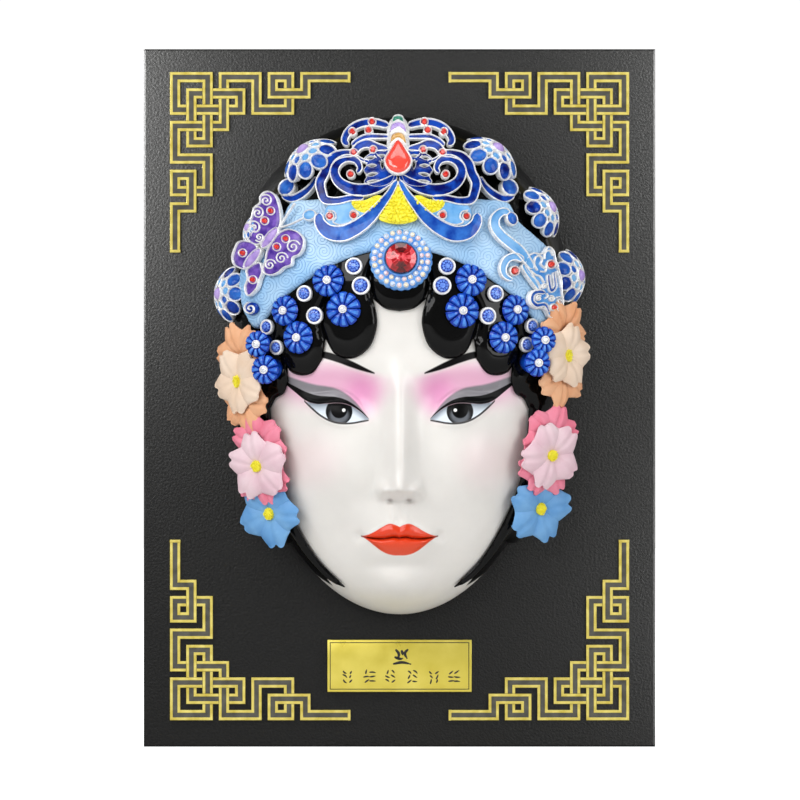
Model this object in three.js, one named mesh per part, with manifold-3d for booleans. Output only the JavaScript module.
// Wall plaque: an opera heroine's mask in relief on a black board, with gold fretwork corners
// and a small gold nameplate. Millimetres, +Z up. The back of the board lies on Y = 0, the
// front faces -Y, and the origin is the centre of the board's back face.
import * as THREE from 'three';
import { mergeVertices } from 'three/addons/utils/BufferGeometryUtils.js';
import Module from 'manifold-3d';

const wasm = await Module();
wasm.setup();

// Driving dimensions
const BOARD_WIDTH = 220;
const BOARD_HEIGHT = 300;
const BOARD_THICK = 9;
const BOARD_CHAMFER = 0.8;

const FRET_PITCH = 7;
const FRET_BAND = 4.6;
const FRET_THICK = 0.4;
const FRET_SIDE_MARGIN = 11.2;
const FRET_TOP_MARGIN = 9.8;
const FRET_BOTTOM_MARGIN = 11.3;

const PLATE_WIDTH = 62;
const PLATE_HEIGHT = 22.4;
const PLATE_THICK = 0.8;
const PLATE_BOTTOM_MARGIN = 23.6;

const MASK_WIDTH = 140;
const MASK_ABOVE = 88;
const MASK_BELOW = 122;
const MASK_DEPTH = 50;
const MASK_CENTRE = 29;
const MASK_WALL = 4;

const HAIR_THICK = 2.9;
const BAND_THICK = 2.6;
const CROWN_THICK = 2.6;
const ENAMEL_THICK = 2.4;
const SEAT_GAP = 0.35;
const HAIR_GAP = 0.9;

const DAISY_HEIGHT = 3.4;
const STONE_HEIGHT = 2.6;
const ROSETTE_HEIGHT = 3.2;
const ROSETTE_RADIUS = 12.5;
const MEDALLION_RADIUS = 13.3;
const MEDALLION_HEIGHT = 5;
const CRYSTAL_RADIUS = 6.7;
const CRYSTAL_HEIGHT = 4.2;
const PETAL_HEIGHT = 4.2;
const BACK_PETAL_HEIGHT = 2.4;
const ROSETTE_TILT = 58;

// Every place on the mask is given on a drawing of it 140 wide, and grows with the mask.
const DRAWN_WIDTH = 140;
const SCALE = MASK_WIDTH / DRAWN_WIDTH;
const FRONT = -BOARD_THICK;

// Lifts of each layer above the skin of the mask
const HAIR_LOW = HAIR_GAP;
const HAIR_TOP = HAIR_LOW + HAIR_THICK;
const ON_HAIR = HAIR_TOP + SEAT_GAP;
const BAND_TOP = ON_HAIR + BAND_THICK;
const ON_BAND = BAND_TOP + SEAT_GAP;

const finish = (color, roughness, metalness = 0) =>
  new THREE.MeshStandardMaterial({ color, roughness, metalness });
const BLACK_BOARD = () => finish(0x1c1c1b, 0.55);
const GOLD = () => finish(0xdcc960, 0.35, 0.6);
const PORCELAIN = () => finish(0xe9e6e2, 0.2);
const BLACK_GLOSS = () => finish(0x0a0a0a, 0.12);
const SKY = () => finish(0x8fc1ec, 0.4);
const ROYAL = () => finish(0x1c35a8, 0.25);
const PURPLE = () => finish(0x5b3a9e, 0.3);
const CRYSTAL_BLUE = () => finish(0x2a63c8, 0.1);
const RUBY = () => finish(0xc01f24, 0.1);
const PEACH = () => finish(0xf0bd92, 0.6);
const CREAM = () => finish(0xeddccb, 0.6);
const ROSE = () => finish(0xf58aa8, 0.6);
const PALE_PINK = () => finish(0xeed3dc, 0.6);
const FLOWER_BLUE = () => finish(0x86b6e6, 0.6);

const group = new THREE.Group();
const add = (name, geometry, material) => {
  const mesh = new THREE.Mesh(geometry, material);
  mesh.name = name;
  group.add(mesh);
  return mesh;
};

// Joining and cutting
function toSolid(geometry) {
  const bare = geometry.clone();
  bare.deleteAttribute('normal');
  bare.deleteAttribute('uv');
  const merged = mergeVertices(bare, 1e-4);
  return new wasm.Manifold(new wasm.Mesh({
    numProp: 3,
    vertProperties: new Float32Array(merged.attributes.position.array),
    triVerts: new Uint32Array(merged.index.array),
  }));
}

function toGeometry(solid) {
  const mesh = solid.getMesh();
  return meshGeometry(mesh.vertProperties, mesh.triVerts);
}

function meshGeometry(positions, indices) {
  const geometry = new THREE.BufferGeometry();
  geometry.setAttribute('position', new THREE.BufferAttribute(new Float32Array(positions), 3));
  geometry.setIndex([...indices]);
  geometry.computeVertexNormals();
  return geometry;
}

const joined = (geometries) => geometries.map(toSolid).reduce((sum, one) => sum.add(one));

// The mask is a dome over the board. A point of it is found from two angles, p to the right and
// q up, measured from the middle of the dome; at a right angle it has come down to the board.
function makeDome(halfWidth, above, below, depth) {
  const widthPower = 2.6;
  const upperPower = 2.2;
  const lowerPower = 3;
  const reach = (t) => (t >= 0 ? above : below);
  const swell = (t, power) => {
    const share = Math.min(Math.abs(t), 0.999);
    return Math.sqrt((1 - share ** power) / (1 - share * share));
  };
  const widen = (t) => (t >= 0 ? swell(t, widthPower) : 1);
  const skin = (p, q) => {
    const r = Math.hypot(p, q);
    const share = r > 1e-9 ? Math.sin(r) / r : 1;
    const t = q * share;
    const deep = depth * swell(t, t >= 0 ? upperPower : lowerPower) * Math.cos(r);
    return new THREE.Vector3(
      halfWidth * widen(t) * p * share,
      FRONT - deep,
      MASK_CENTRE + reach(t) * t,
    );
  };
  const normal = (p, q) => {
    const h = 1e-3;
    const alongP = skin(p + h, q).sub(skin(p - h, q));
    const alongQ = skin(p, q + h).sub(skin(p, q - h));
    return alongP.cross(alongQ).normalize();
  };
  const map = (p, q, lift) => skin(p, q).addScaledVector(normal(p, q), lift);
  const flatten = (x, z) => {
    const t = THREE.MathUtils.clamp((z - MASK_CENTRE) / (z >= MASK_CENTRE ? above : below), -1, 1);
    const s = x / (halfWidth * widen(t));
    const sine = Math.min(Math.hypot(s, t), 0.9995);
    const stretch = Math.asin(sine) / Math.max(Math.hypot(s, t), 1e-9);
    return [s * stretch, t * stretch];
  };
  // The angles at which a point raised by lift is seen from the front at x, z
  const find = (x, z, lift = 0) => {
    let [aimX, aimZ] = [x, z];
    let angles = flatten(aimX, aimZ);
    for (let step = 0; step < 12; step++) {
      const here = map(...angles, lift);
      aimX += (x - here.x) * 0.7;
      aimZ += (z - here.z) * 0.7;
      angles = flatten(aimX, aimZ);
    }
    return angles;
  };
  return { map, normal, find };
}

const mask = makeDome(MASK_WIDTH / 2, MASK_ABOVE, MASK_BELOW, MASK_DEPTH);
// The crown stands on the headband and rises a little in front of the hair.
const crown = makeDome(
  MASK_WIDTH / 2 + ON_BAND,
  MASK_ABOVE + ON_BAND + 8,
  MASK_BELOW + ON_BAND,
  MASK_DEPTH + ON_BAND,
);

// Triangles over a set of points in a plane, each with no point inside its circle
function triangulate(points) {
  const far = 1e3;
  const all = [...points, [-far, -far], [far, -far], [0, far]];
  const count = points.length;
  const circle = (a, b, c) => {
    const [[ax, ay], [bx, by], [cx, cy]] = [all[a], all[b], all[c]];
    const d = 2 * (ax * (by - cy) + bx * (cy - ay) + cx * (ay - by));
    const [aa, bb, cc] = [ax * ax + ay * ay, bx * bx + by * by, cx * cx + cy * cy];
    const x = (aa * (by - cy) + bb * (cy - ay) + cc * (ay - by)) / d;
    const y = (aa * (cx - bx) + bb * (ax - cx) + cc * (bx - ax)) / d;
    return { ids: [a, b, c], x, y, rr: (ax - x) ** 2 + (ay - y) ** 2 };
  };
  let triangles = [circle(count, count + 1, count + 2)];
  for (let i = 0; i < count; i++) {
    const [px, py] = all[i];
    const hit = (t) => (px - t.x) ** 2 + (py - t.y) ** 2 < t.rr * (1 - 1e-12);
    const edges = new Map();
    for (const { ids } of triangles.filter(hit)) {
      ids.forEach((a, k) => {
        const b = ids[(k + 1) % 3];
        if (!edges.delete(`${b},${a}`)) edges.set(`${a},${b}`, [a, b]);
      });
    }
    triangles = triangles.filter((t) => !hit(t));
    for (const [a, b] of edges.values()) triangles.push(circle(a, b, i));
  }
  return triangles.map((t) => t.ids).filter((ids) => ids.every((id) => id < count));
}

function insideRing(ring, x, y) {
  let inside = false;
  ring.forEach(([ax, ay], i) => {
    const [bx, by] = ring[(i + 1) % ring.length];
    if ((ay > y) !== (by > y) && x < ax + ((y - ay) / (by - ay)) * (bx - ax)) inside = !inside;
  });
  return inside;
}

function distanceToRing(ring, x, y) {
  return Math.min(...ring.map(([ax, ay], i) => {
    const [bx, by] = ring[(i + 1) % ring.length];
    const along = ((x - ax) * (bx - ax) + (y - ay) * (by - ay)) /
      ((bx - ax) ** 2 + (by - ay) ** 2 || 1);
    const k = THREE.MathUtils.clamp(along, 0, 1);
    return Math.hypot(x - ax - k * (bx - ax), y - ay - k * (by - ay));
  }));
}

// A net of points inside a ring: each step has its own net, kept where stepAt gives that step.
function netInside(ring, steps, stepAt) {
  const reach = 1.6;
  const points = [];
  for (const step of steps) {
    const rise = step * Math.sqrt(3) / 2;
    for (let row = 0, y = -reach; y < reach; row++, y += rise) {
      for (let x = -reach + (row % 2) * step / 2; x < reach; x += step) {
        const wanted = stepAt(x, y) === step;
        if (wanted && insideRing(ring, x, y) && distanceToRing(ring, x, y) > step * 0.4) {
          points.push([x + row * 1e-5, y + x * 1e-5]);
        }
      }
    }
  }
  return points;
}

// A closed shell between an upper and a lower skin over the same ring
function shellSolid(ring, upperPoints, upper, lowerPoints, lower) {
  const ringSize = ring.length;
  const positions = [];
  const indices = [];
  const layer = (points, skin, flip) => {
    const first = positions.length / 3;
    const all = [...ring, ...points];
    all.forEach(([p, q], i) => positions.push(...skin(p, q, i < ringSize).toArray()));
    for (const [a, b, c] of triangulate(all)) {
      const [mx, my] = [0, 1].map((k) => (all[a][k] + all[b][k] + all[c][k]) / 3);
      if (!insideRing(ring, mx, my)) continue;
      const turn = (all[b][0] - all[a][0]) * (all[c][1] - all[a][1]) -
        (all[b][1] - all[a][1]) * (all[c][0] - all[a][0]);
      const order = (turn > 0) !== flip ? [a, b, c] : [a, c, b];
      indices.push(...order.map((id) => id + first));
    }
    return first;
  };
  const top = layer(upperPoints, upper, false);
  const low = layer(lowerPoints, lower, true);
  for (let i = 0; i < ringSize; i++) {
    const j = (i + 1) % ringSize;
    indices.push(top + i, low + i, low + j, top + i, low + j, top + j);
  }
  return meshGeometry(positions, indices);
}

// A ring always runs anticlockwise as seen from the front.
function anticlockwise(ring) {
  const area = ring.reduce((sum, [ax, ay], i) => {
    const [bx, by] = ring[(i + 1) % ring.length];
    return sum + ax * by - ay * bx;
  }, 0);
  return area > 0 ? ring : [...ring].reverse();
}

// A plate that follows a dome: its outline is drawn as it is seen from the front.
function drapedPlate(dome, ring, low, thick, edgeShare, step) {
  const angles = anticlockwise(ring);
  const points = netInside(angles, [step], () => step);
  const top = (p, q, onEdge) => dome.map(p, q, low + thick * (onEdge ? edgeShare : 1));
  return shellSolid(angles, points, top, points, (p, q) => dome.map(p, q, low));
}

const seen = (dome, lift) => ([x, z]) => dome.find(x * SCALE, z * SCALE, lift);

function curveThrough(points, pieces, closed = false) {
  const spots = points.map(([x, z]) => new THREE.Vector3(x, z, 0));
  const curve = new THREE.CatmullRomCurve3(spots, closed, 'centripetal');
  const found = curve.getPoints(pieces).map((v) => [v.x, v.y]);
  return closed ? found.slice(0, -1) : found;
}

const mirrored = (points) => points.map(([x, z]) => [-x, z]);

// Backing board
{
  const side = BOARD_WIDTH / 2 - BOARD_CHAMFER;
  const end = BOARD_HEIGHT / 2 - BOARD_CHAMFER;
  const outline = new THREE.Shape([
    new THREE.Vector2(-side, -end),
    new THREE.Vector2(side, -end),
    new THREE.Vector2(side, end),
    new THREE.Vector2(-side, end),
  ]);
  const board = new THREE.ExtrudeGeometry(outline, {
    depth: BOARD_THICK - 2 * BOARD_CHAMFER,
    bevelSize: BOARD_CHAMFER,
    bevelThickness: BOARD_CHAMFER,
    bevelSegments: 1,
  });
  board.rotateX(Math.PI / 2);
  add('backing_board', board, BLACK_BOARD()).position.y = -BOARD_CHAMFER;
}

// Fretwork: a closed strand and an open strand woven through each other, on a square grid
// counted from the outer corner; each corner of the board has the same piece, turned.
const FRET_LOOP = [[0, 0], [0, 2], [4, 2], [4, 1], [1, 1], [1, 4], [2, 4], [2, 0], [0, 0]];
const FRET_STRAND = [
  [10.6, 0], [8, 0], [8, 1], [6, 1], [6, 0], [7, 0], [7, 2], [5, 2], [5, 0], [3, 0], [3, 3],
  [0, 3], [0, 5], [2, 5], [2, 7], [0, 7], [0, 6], [1, 6], [1, 8], [0, 8], [0, 10.6],
];

function fretGeometry() {
  const bars = [];
  for (const strand of [FRET_LOOP, FRET_STRAND]) {
    for (let i = 1; i < strand.length; i++) {
      const [[ax, ay], [bx, by]] = [strand[i - 1], strand[i]];
      const bar = new THREE.BoxGeometry(
        Math.abs(bx - ax) * FRET_PITCH + FRET_BAND,
        FRET_THICK,
        Math.abs(by - ay) * FRET_PITCH + FRET_BAND,
      );
      bar.translate((ax + bx) / 2 * FRET_PITCH, -FRET_THICK / 2, -(ay + by) / 2 * FRET_PITCH);
      bars.push(bar);
    }
  }
  return toGeometry(joined(bars));
}

{
  const fret = fretGeometry();
  const x = BOARD_WIDTH / 2 - FRET_SIDE_MARGIN - FRET_BAND / 2;
  const top = BOARD_HEIGHT / 2 - FRET_TOP_MARGIN - FRET_BAND / 2;
  const bottom = -(BOARD_HEIGHT / 2 - FRET_BOTTOM_MARGIN - FRET_BAND / 2);
  const corners = [
    ['top_left', -x, top, 0],
    ['top_right', x, top, 1],
    ['bottom_right', x, bottom, 2],
    ['bottom_left', -x, bottom, 3],
  ];
  for (const [name, cornerX, cornerZ, turns] of corners) {
    const corner = add(`corner_fret_${name}`, fret.clone(), GOLD());
    corner.position.set(cornerX, FRONT, cornerZ);
    corner.rotation.y = turns * Math.PI / 2;
  }
}

// Nameplate
{
  const plate = new THREE.BoxGeometry(PLATE_WIDTH, PLATE_THICK, PLATE_HEIGHT);
  const middle = PLATE_HEIGHT / 2 + PLATE_BOTTOM_MARGIN - BOARD_HEIGHT / 2;
  add('nameplate', plate, GOLD()).position.set(0, FRONT - PLATE_THICK / 2, middle);
}

// Face: the forward relief at a place, x from the middle and z up, both on the drawing. Its
// heights follow the usual thirds: hairline to brow, brow to nose, nose to chin.
const CHIN_LINE = -93;
const THIRD = 50;
const NOSE_LINE = CHIN_LINE + THIRD;
const BROW_LINE = NOSE_LINE + THIRD;
const EYE_LINE = CHIN_LINE + 1.75 * THIRD;
const MOUTH_LINE = NOSE_LINE - THIRD / 3;
const EYE_OFFSET = 26;

function faceRelief(x, z) {
  const hill = (cx, cz, sx, sz, height) =>
    height * Math.exp(-(((x - cx) / sx) ** 2) - (((z - cz) / sz) ** 2));
  const both = (cx, cz, sx, sz, height) =>
    hill(cx, cz, sx, sz, height) + hill(-cx, cz, sx, sz, height);
  const rise = THREE.MathUtils.smoothstep(z, NOSE_LINE - 2, NOSE_LINE + 5);
  const fall = 1 - THREE.MathUtils.smoothstep(z, NOSE_LINE + 2, BROW_LINE + 8);
  const ridge = rise * (3 + 11 * fall) * (1 - THREE.MathUtils.smoothstep(z, BROW_LINE, BROW_LINE + 12));
  const nose = ridge * Math.exp(-((x / (5 + 3 * fall)) ** 2));
  return nose +
    both(8, NOSE_LINE + 3.5, 4, 4.5, 4.5) +
    both(EYE_OFFSET - 1, EYE_LINE + 4, 15, 9, -3.6) +
    both(EYE_OFFSET, EYE_LINE, 12, 6.5, 3.4) +
    both(EYE_OFFSET + 6, NOSE_LINE + 14, 13, 15, 2.6) +
    hill(0, MOUTH_LINE, 19, 13, 4.5) +
    hill(0, MOUTH_LINE + 3.4, 13, 2.8, 2.4) +
    hill(0, MOUTH_LINE - 3.8, 10, 3.2, 2.8) +
    hill(0, MOUTH_LINE - 11, 12, 3.5, -1.6) +
    hill(0, CHIN_LINE + 12, 12, 8, 6);
}

{
  const rimPoints = 44;
  const rim = Array.from({ length: rimPoints }, (_, i) => {
    const turn = i / rimPoints * 2 * Math.PI;
    return [Math.cos(turn) * Math.PI / 2, Math.sin(turn) * Math.PI / 2];
  });
  const [wideStep, faceStep, featureStep] = [0.24, 0.13, 0.052];
  const within = (x, z, cx, cz, sx, sz) => Math.hypot((x - cx) / sx, (z - cz) / sz) < 1;
  const step = (p, q) => {
    if (Math.hypot(p, q) > 1.3) return wideStep;
    const spot = mask.map(p, q, 0);
    const [x, z] = [Math.abs(spot.x) / SCALE, spot.z / SCALE];
    const feature = within(x, z, EYE_OFFSET, EYE_LINE, 15, 9) || within(x, z, 0, MOUTH_LINE, 19, 10) ||
      within(x, z, 0, NOSE_LINE + 6, 14, 11) || (x < 7 && z > NOSE_LINE && z < BROW_LINE);
    if (feature) return featureStep;
    return within(x, z, 0, EYE_LINE - 25, 50, 62) ? faceStep : wideStep;
  };
  const outer = (p, q) => {
    const spot = mask.map(p, q, 0);
    spot.y -= faceRelief(spot.x / SCALE, spot.z / SCALE) * SCALE *
      THREE.MathUtils.smoothstep(Math.PI / 2 - Math.hypot(p, q), 0, 0.35);
    return spot;
  };
  const inner = (p, q) => mask.map(p, q, -MASK_WALL);
  const hollow = netInside(rim, [wideStep], () => wideStep);
  const face = shellSolid(rim, netInside(rim, [wideStep, faceStep, featureStep], step), outer, hollow, inner);
  add('face_shell', face, PORCELAIN());
}

// Hair: a glossy cap with seven rounded locks over the brow, and a strip down to each jaw
const HAIR_EDGE = [
  ...curveThrough([[0, 36.7], [-6.5, 38], [-11.6, 42.1]], 4),
  ...curveThrough([[-10, 36], [-9.7, 31], [-13, 21.5], [-20.5, 16.6], [-28, 18.5], [-32.3, 25.3]], 8),
  ...curveThrough([[-33.5, 16.5], [-38, 10.5], [-43, 9.4], [-47.5, 11], [-49.3, 13.6]], 6),
  ...curveThrough([[-48.7, 7], [-51, 1.5], [-54.4, -0.5], [-57, -5]], 4),
  ...curveThrough([[-56.5, -16], [-53.5, -36], [-46.9, -53], [-37, -70], [-24.6, -82.7]], 9),
  ...curveThrough([[-33, -77.5], [-41.2, -68.5], [-46, -62]], 3),
];

{
  const toAngles = seen(mask, HAIR_TOP);
  const left = HAIR_EDGE.map(toAngles);
  const right = mirrored(HAIR_EDGE).slice(1).map(toAngles).reverse();
  const rimReach = 1.53;
  const start = Math.atan2(right[0][1], right[0][0]);
  const end = Math.atan2(left.at(-1)[1], left.at(-1)[0]) + 2 * Math.PI;
  const over = [];
  const arcPoints = 40;
  for (let i = 1; i < arcPoints; i++) {
    const turn = start + (end - start) * i / arcPoints;
    over.push([Math.cos(turn) * rimReach, Math.sin(turn) * rimReach]);
  }
  const ring = [...left, ...over.reverse(), ...right];
  add('hair', drapedPlate(mask, ring, HAIR_LOW, HAIR_THICK, 0.7, 0.2), BLACK_GLOSS());
}

// Small pieces sit on the mask with their own +Z along the way they face.
function seat(mesh, dome, x, z, lift, lean = 0, spin = 0) {
  const [p, q] = dome.find(x * SCALE, z * SCALE, lift);
  const facing = dome.normal(p, q);
  mesh.position.copy(dome.map(p, q, lift));
  facing.addScaledVector(new THREE.Vector3(0, -1, 0), lean).normalize();
  const up = new THREE.Vector3(0, 0, 1).addScaledVector(facing, -facing.z).normalize();
  const across = new THREE.Vector3().crossVectors(up, facing);
  mesh.quaternion.setFromRotationMatrix(new THREE.Matrix4().makeBasis(across, up, facing));
  mesh.rotateZ(spin);
  mesh.updateMatrixWorld();
  return mesh;
}

// A blossom: rings of points round a middle, with lobed petals and grooves between them.
// Each profile step gives a share of the radius, a height and how deep the grooves are there.
function blossom(radius, petals, perPetal, notch, middleHeight, profile) {
  const around = petals * perPetal;
  const rings = profile.map(([share, height, groove]) =>
    Array.from({ length: around }, (_, i) => {
      const turn = i / around * 2 * Math.PI;
      const lobe = Math.abs(Math.cos(turn * petals / 2)) ** 0.6;
      const reach = radius * share * (1 - notch * share * (1 - lobe));
      return [Math.cos(turn) * reach, Math.sin(turn) * reach, height - groove * (1 - lobe)];
    }));
  const positions = [0, 0, middleHeight];
  rings.forEach((ring) => ring.forEach((spot) => positions.push(...spot)));
  const lastHeight = profile.at(-1)[1];
  positions.push(0, 0, lastHeight);
  const indices = [];
  const at = (ring, i) => 1 + ring * around + i % around;
  const lastRing = rings.length - 1;
  const middle = positions.length / 3 - 1;
  for (let i = 0; i < around; i++) {
    indices.push(0, at(0, i), at(0, i + 1), middle, at(lastRing, i + 1), at(lastRing, i));
    for (let ring = 0; ring < lastRing; ring++) {
      indices.push(at(ring, i), at(ring + 1, i), at(ring + 1, i + 1));
      indices.push(at(ring, i), at(ring + 1, i + 1), at(ring, i + 1));
    }
  }
  return meshGeometry(positions, indices);
}

const daisyProfile = [[1, DAISY_HEIGHT * 0.6, 1], [0.8, 0, 0]];
const rosetteProfile = [[0.34, ROSETTE_HEIGHT, 0], [1, 2.2, 0.8], [0.95, 0, 0]];

const cutters = [];
function clearFor(mesh, radius, height) {
  const margin = 2;
  const room = new THREE.CylinderGeometry(radius + SEAT_GAP, radius + SEAT_GAP, height + margin, 14);
  room.rotateX(Math.PI / 2);
  room.translate(0, 0, height / 2);
  cutters.push(room.applyMatrix4(mesh.matrixWorld));
}

// Blue daisies and blue stones in cups, on the hair: x, z and radius on the drawing
const DAISIES = {
  left: [
    [-29.9, 49.6, 6.4], [-23.4, 37.4, 6.9], [-48.1, 37, 6], [-42.5, 25.6, 6.4], [-61.3, 22.8, 5.2],
    [-58, 12, 5.7],
  ],
  right: [
    [29.9, 49.8, 6.4], [26.2, 36.8, 6.8], [48.6, 37.4, 6.1], [43.6, 25.6, 6.3], [63.1, 25.6, 5.3],
    [59.5, 14.9, 5.5],
  ],
};
const STONES = {
  left: [
    [-19.1, 55.5, 3.7], [-16.1, 47.3, 3.9], [-39.8, 44.1, 3.5], [-35.5, 34.8, 3.7],
    [-55.6, 30.1, 3.3], [-51.6, 21.4, 3.2],
  ],
  right: [
    [19.8, 55.5, 3.7], [17.8, 47.3, 3.9], [40.2, 44.1, 3.6], [36.9, 34.7, 3.7], [55.5, 30.5, 3.3],
    [53.2, 22.6, 3.3],
  ],
};

for (const side of ['left', 'right']) {
  DAISIES[side].forEach(([x, z, radius], i) => {
    const daisy = blossom(radius * SCALE, 9, 2, 0.2, DAISY_HEIGHT, daisyProfile);
    const mesh = add(`daisy_${side}_${i + 1}`, daisy, ROYAL());
    seat(mesh, mask, x, z, ON_HAIR, 0.1, i);
    clearFor(mesh, radius * SCALE, DAISY_HEIGHT);
  });
  STONES[side].forEach(([x, z, radius], i) => {
    const cup = radius * SCALE;
    const outline = [[0, 0], [cup, 0], [cup, STONE_HEIGHT * 0.6], [cup * 0.6, STONE_HEIGHT], [0, STONE_HEIGHT]];
    const stone = new THREE.LatheGeometry(outline.map(([r, h]) => new THREE.Vector2(r, h)), 8);
    stone.rotateX(Math.PI / 2);
    const mesh = add(`stone_${side}_${i + 1}`, stone, CRYSTAL_BLUE());
    seat(mesh, mask, x, z, ON_HAIR, 0.1);
    clearFor(mesh, cup, STONE_HEIGHT);
  });
}

// Medallion with a scalloped edge, and the ruby crystal set in it
{
  const place = [0.6, 59.5];
  const recess = MEDALLION_HEIGHT * 0.7;
  const medallion = blossom(MEDALLION_RADIUS * SCALE, 20, 2, 0.05, recess, [
    [CRYSTAL_RADIUS / MEDALLION_RADIUS + 0.06, recess, 0],
    [CRYSTAL_RADIUS / MEDALLION_RADIUS + 0.12, MEDALLION_HEIGHT, 0],
    [1, MEDALLION_HEIGHT * 0.8, 0],
    [0.96, 0, 0],
  ]);
  const disc = seat(add('medallion', medallion, SKY()), mask, ...place, ON_HAIR);
  clearFor(disc, MEDALLION_RADIUS * SCALE, MEDALLION_HEIGHT);
  const radius = CRYSTAL_RADIUS * SCALE;
  const outline = [
    [0, 0], [radius, 0], [radius, 1], [radius * 0.6, CRYSTAL_HEIGHT - 0.6], [0, CRYSTAL_HEIGHT],
  ];
  const crystal = new THREE.LatheGeometry(outline.map(([r, h]) => new THREE.Vector2(r, h)), 12);
  crystal.rotateX(Math.PI / 2);
  const stone = seat(add('medallion_crystal', crystal, RUBY()), mask, ...place, ON_HAIR);
  stone.translateZ(recess + SEAT_GAP);
}

// Headband, cut clear of the stones and flowers along its lower edge
{
  const half = [
    [0, 62.8], [13.5, 62], [28.8, 56.5], [47.9, 44.5], [57.1, 35], [62, 29.5], [67, 37], [69, 50],
    [65.8, 61.9], [58.5, 69.2], [51.4, 75.3], [46.5, 83.5], [37, 84.6], [18, 86], [0, 86.5],
  ];
  const ring = [...half, ...mirrored(half).reverse().slice(1, -1)];
  const angles = curveThrough(ring, 60, true).map(seen(mask, BAND_TOP));
  const band = drapedPlate(mask, angles, ON_HAIR, BAND_THICK, 0.8, 0.17);
  add('headband', toGeometry(cutters.map(toSolid).reduce((rest, one) => rest.subtract(one), toSolid(band))), SKY());
}

// Ornaments cut from flat pieces on the drawing, joined there, then laid over a dome
function ribbon(points, width, pieces) {
  const path = curveThrough(points, pieces).map(([x, z]) => new THREE.Vector2(x, z));
  const sides = path.map((spot, i) => {
    const way = path[Math.min(i + 1, path.length - 1)].clone().sub(path[Math.max(i - 1, 0)]).normalize();
    return new THREE.Vector2(-way.y, way.x).multiplyScalar(width / 2);
  });
  const left = path.map((spot, i) => spot.clone().add(sides[i]));
  const right = path.map((spot, i) => spot.clone().sub(sides[i]));
  return flatPlate([...left, ...right.reverse()]);
}

function flatPlate(spots) {
  const shape = new THREE.Shape(spots.map((s) => (Array.isArray(s) ? new THREE.Vector2(...s) : s)));
  return new THREE.ExtrudeGeometry(shape, { depth: 1, bevelEnabled: false });
}

const flatDisc = (x, z, radius, sides = 10) =>
  new THREE.CylinderGeometry(radius, radius, 1, sides).rotateX(Math.PI / 2).translate(x, z, 0.5);

function laidOver(dome, pieces, low, thick) {
  const flat = toGeometry(joined(pieces));
  const spots = flat.attributes.position;
  for (let i = 0; i < spots.count; i++) {
    const angles = dome.find(spots.getX(i) * SCALE, spots.getY(i) * SCALE, low + thick);
    spots.setXYZ(i, ...dome.map(...angles, low + thick * Math.min(spots.getZ(i), 1)).toArray());
  }
  return flat;
}

// Crown: a butterfly in openwork with a pair of upper wings, spread wings with a spiral in each,
// and a pair of lower ribbons that meet under the drop-shaped stone.
const CROWN_MIDDLE = -0.6;
const DROP_TOP = 111.6;
const DROP_WIDTH = 9.6;
const DROP_HEIGHT = 14.4;

{
  const wing = [
    ribbon([[4, 119], [8, 120.6], [14, 120], [19, 118], [22.6, 114.6], [25, 110.5], [20.5, 108.5]], 2.4, 8),
    ribbon([[4, 116.3], [15.2, 116.2], [17, 113.6]], 1.9, 3),
    ribbon([[3, 106.4], [9.6, 108], [14, 111.2], [18, 109], [21.4, 106.4], [26, 105], [28.6, 102],
      [32.6, 98.4], [33.6, 95], [35.5, 91], [34.6, 85.4], [28, 84.5], [19, 86]], 3.2, 15),
    ribbon([[2.4, 96.4], [8, 90], [12.5, 87.6], [18, 86.9], [24.5, 88.8], [29, 92.8], [30, 96.6],
      [28.6, 100], [25, 102.3], [20.5, 102.6], [16.8, 100.8], [15.8, 97]], 2.8, 15),
    flatDisc(20.4, 96.4, 3.8),
    flatPlate([[2, 106.5], [9, 107.5], [14, 104], [12, 98], [7.5, 94], [2, 97]]),
    ribbon([[1.2, 93], [7, 82.5], [15.5, 74.8], [24.5, 69], [31.6, 71], [34.4, 76], [32.4, 81.4]], 3.6, 9),
    flatPlate([[4.5, 83.5], [12, 86.5], [19, 86.5], [30, 83.5], [31, 79], [25, 73.5], [16, 76.5]]),
  ];
  const shift = (piece) => piece.translate(CROWN_MIDDLE, 0, 0);
  const rightSide = wing.map((piece) => shift(piece.clone()));
  const leftSide = wing.map((piece) => {
    const solid = toSolid(piece).mirror([1, 0, 0]);
    return shift(toGeometry(solid));
  });
  const body = shift(flatPlate([
    [-4.6, 106], [-5, 113.6], [-4, 119.6], [0, 121.4], [4, 119.6], [5, 113.6], [4.6, 106],
    [6.6, 101], [4, 96], [9, 77], [0, 75.2], [-9, 77], [-4, 96], [-6.6, 101],
  ]));
  const butterfly = laidOver(crown, [body, ...rightSide, ...leftSide], SEAT_GAP, CROWN_THICK);
  add('crown_butterfly', butterfly, ROYAL());
}

// Drop-shaped stone on the crown
{
  const lean = DROP_WIDTH / 2;
  const round = DROP_TOP - DROP_HEIGHT + lean;
  const outline = curveThrough([
    [0, DROP_TOP], [-lean * 0.62, round + lean * 0.75], [-lean, round], [-lean * 0.7, round - lean * 0.7],
    [0, DROP_TOP - DROP_HEIGHT], [lean * 0.7, round - lean * 0.7], [lean, round],
    [lean * 0.62, round + lean * 0.75],
  ], 16, true).map(([x, z]) => [x + CROWN_MIDDLE, z]);
  const low = CROWN_THICK + 2 * SEAT_GAP;
  const angles = outline.map(seen(crown, low));
  add('crown_drop_stone', drapedPlate(crown, angles, low, 2.4, 0.35, 0.06), RUBY());
}

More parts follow.
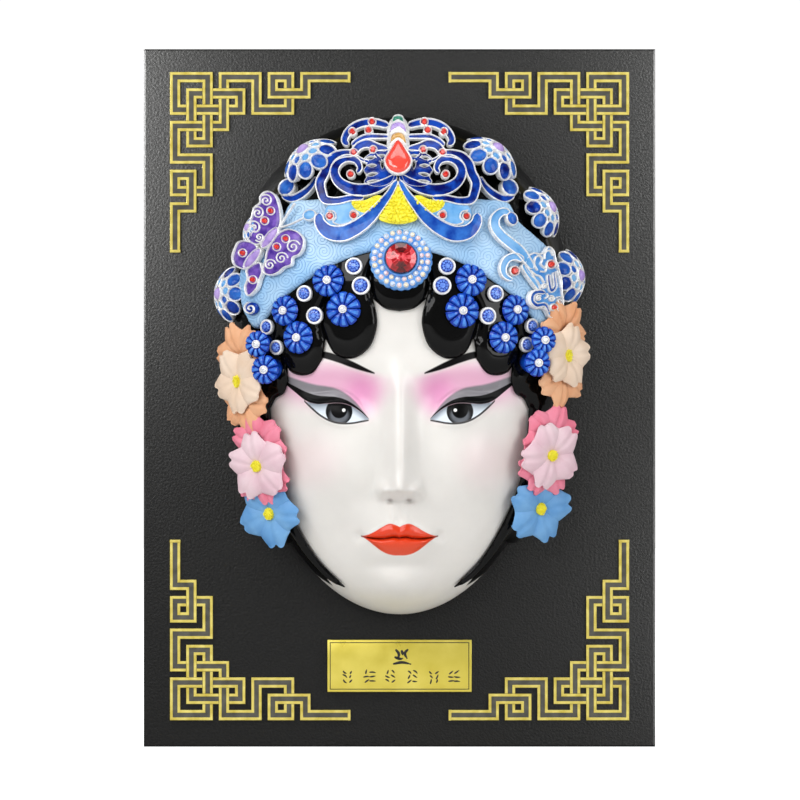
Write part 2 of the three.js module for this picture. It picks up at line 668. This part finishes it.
// Purple butterfly at the left of the headband
{
  const outline = curveThrough([
    [-57.4, 88.8], [-60.5, 84.7], [-63.6, 80.2], [-65.8, 74], [-66, 69.1], [-70.5, 65], [-72.4, 60],
    [-70.2, 56], [-66.5, 52], [-66, 44.3], [-61.5, 48.5], [-58.5, 54.6], [-55.3, 53], [-49.9, 55],
    [-46.7, 59.6], [-42.5, 63.2], [-42.1, 68.4], [-46.7, 71.6], [-51.4, 72.6], [-51.4, 81.4], [-53.5, 86],
  ], 44, true);
  const angles = outline.map(seen(crown, ENAMEL_THICK));
  add('purple_butterfly', drapedPlate(crown, angles, SEAT_GAP, ENAMEL_THICK, 0.6, 0.13), PURPLE());
}

// Phoenix at the right of the headband: a head, a curved neck and scrolled plumage
let phoenix;
{
  const pieces = [
    flatDisc(48.4, 77, 2.4),
    ribbon([[47.6, 78.6], [45.4, 80.7], [41.6, 80.2], [38.8, 76.8], [39.4, 72], [43, 67.2], [50.5, 62.6], [54, 61]], 2.4, 10),
    ribbon([[54, 61], [47, 60.8], [44.2, 57.2], [45.6, 52.8], [49.4, 51.2]], 2.2, 6),
    flatPlate(curveThrough([
      [52, 63], [58, 64.4], [64, 66.6], [68.6, 62], [70.4, 54], [70.6, 46], [69.4, 38], [65.6, 33.6],
      [62.6, 37.6], [60.6, 44], [56, 48.6], [51.4, 51.6], [50, 57],
    ], 26, true)),
  ];
  phoenix = add('phoenix', laidOver(crown, pieces, SEAT_GAP, ENAMEL_THICK), SKY());
}

// Larger pieces lean out from the mask by a tilt of their own, and are brought forward until
// their underside clears the layer that they rest on and the board. The middle of their face,
// at a rise above the underside, is seen at x, z.
function lean(mesh, x, z, tilt, under, radius, rise) {
  const spot = new THREE.Vector3(x, 0, z).multiplyScalar(SCALE);
  const [p, q] = mask.find(spot.x, spot.z, under);
  const out = mask.normal(p, q).setY(0).normalize();
  const angle = THREE.MathUtils.degToRad(tilt);
  const facing = out.multiplyScalar(Math.sin(angle)).setY(-Math.cos(angle));
  spot.addScaledVector(facing, -rise).setY(0);
  const up = new THREE.Vector3(0, 0, 1).addScaledVector(facing, -facing.z).normalize();
  const across = new THREE.Vector3().crossVectors(up, facing);
  let depth = FRONT;
  for (let i = 0; i < 48; i++) {
    const turn = i / 16 * 2 * Math.PI;
    const reach = radius * [1, 0.75, 0.4][Math.floor(i / 16)];
    const arm = across.clone().multiplyScalar(Math.cos(turn) * reach)
      .addScaledVector(up, Math.sin(turn) * reach);
    const [x0, z0] = [spot.x + arm.x, spot.z + arm.z];
    const below = mask.map(...mask.find(x0, z0, under), under);
    const onMask = Math.hypot(below.x - x0, below.z - z0) < 0.5;
    depth = Math.min(depth, (onMask ? below.y : FRONT) - SEAT_GAP - arm.y);
  }
  mesh.position.set(spot.x, depth, spot.z);
  mesh.quaternion.setFromRotationMatrix(new THREE.Matrix4().makeBasis(across, up, facing));
  mesh.updateMatrixWorld();
  return mesh;
}

const clearOf = (mesh, solids) => {
  const here = toSolid(mesh.geometry.clone().applyMatrix4(mesh.matrixWorld));
  const rest = solids.map(toSolid).reduce((left, one) => left.subtract(one), here);
  mesh.geometry = toGeometry(rest).applyMatrix4(mesh.matrixWorld.clone().invert());
};

// Rosettes round the edge of the headdress
const ROSETTES = {
  left: [[-39.3, 106.8], [-67, 74.6], [-77.4, 45.1]],
  right: [[40.6, 108.4], [64.7, 82.3], [77.4, 53.1]],
};
for (const side of ['left', 'right']) {
  ROSETTES[side].forEach(([x, z], i) => {
    const rosette = blossom(ROSETTE_RADIUS * SCALE, 8, 2, 0.16, ROSETTE_HEIGHT, rosetteProfile);
    const mesh = add(`rosette_${side}_${i + 1}`, rosette, ROYAL());
    lean(mesh, x, z, ROSETTE_TILT, HAIR_TOP, ROSETTE_RADIUS * SCALE, ROSETTE_HEIGHT);
  });
}

// Side flowers: three at each side. Behind each of the upper two is a deeper coloured pair of
// blossoms, one above the other, made as one. Each entry: names and colours in front and
// behind, the places, both tilts, the radius in front and behind, and how far apart the pair is.
const petalProfile = [
  [0.2, PETAL_HEIGHT * 0.6, 0.4], [0.75, PETAL_HEIGHT * 0.8, 1.2], [1, PETAL_HEIGHT * 0.5, 0], [0.8, 0, 0],
];
const backProfile = [[1, BACK_PETAL_HEIGHT * 0.9, 0.6], [0.94, 0, 0]];
const FLOWERS = [
  {
    names: ['cream', 'peach'], colours: [CREAM, PEACH], places: [[-69.9, 6.9], [72.7, 18]],
    tilt: 44, radii: [14.2, 14], apart: 18, shift: [1.4, 1.2], under: BAND_TOP,
  },
  {
    names: ['pale_pink', 'rose'], colours: [PALE_PINK, ROSE], places: [[-61.3, -29.2], [65.6, -24.7]],
    tilt: 34, radii: [13.6, 13.6], apart: 12, shift: [2, 1.4], under: HAIR_TOP,
  },
  {
    names: ['blue'], colours: [FLOWER_BLUE], places: [[-56.1, -49.6], [60.8, -47.5]],
    tilt: 34, radii: [12.6], under: HAIR_TOP,
  },
];
const flowerCutters = [];
for (const { names, colours, places, tilt, radii, apart, shift, under } of FLOWERS) {
  const rise = PETAL_HEIGHT * 0.6 + (apart ? BACK_PETAL_HEIGHT + SEAT_GAP : 0);
  places.forEach(([x, z], i) => {
    const side = ['left', 'right'][i];
    const shape = blossom(radii[0] * SCALE, 5, 4, 0.2, PETAL_HEIGHT, petalProfile);
    const flower = add(`${names[0]}_flower_${side}`, shape, colours[0]());
    lean(flower, x, z, tilt, under, radii[0] * SCALE * 1.1, rise);
    if (!apart) {
      clearOf(flower, flowerCutters);
      return;
    }
    const pair = [apart / 2 + shift[i], -apart / 2 + shift[i]].map((up, k) => {
      const one = blossom(radii[1] * SCALE, 6, 3, 0.18, BACK_PETAL_HEIGHT - k * 0.3, backProfile);
      return one.rotateZ(0.5 + k).translate(0, up * SCALE, 0);
    });
    const behind = add(`${names[1]}_flower_${side}`, toGeometry(joined(pair)), colours[1]());
    behind.position.copy(flower.position);
    behind.quaternion.copy(flower.quaternion);
    behind.updateMatrixWorld();
    flower.translateZ(BACK_PETAL_HEIGHT + SEAT_GAP);
    flower.updateMatrixWorld();
    clearOf(flower, cutters);
    clearOf(behind, [...cutters, ...flowerCutters]);
    for (const piece of pair) {
      piece.computeBoundingSphere();
      const reach = radii[1] * SCALE + SEAT_GAP;
      const room = new THREE.CylinderGeometry(reach, reach, 12, 16).rotateX(Math.PI / 2);
      room.translate(piece.boundingSphere.center.x, piece.boundingSphere.center.y, 5);
      flowerCutters.push(room.applyMatrix4(behind.matrixWorld));
    }
  });
}
clearOf(phoenix, flowerCutters);

export default group;
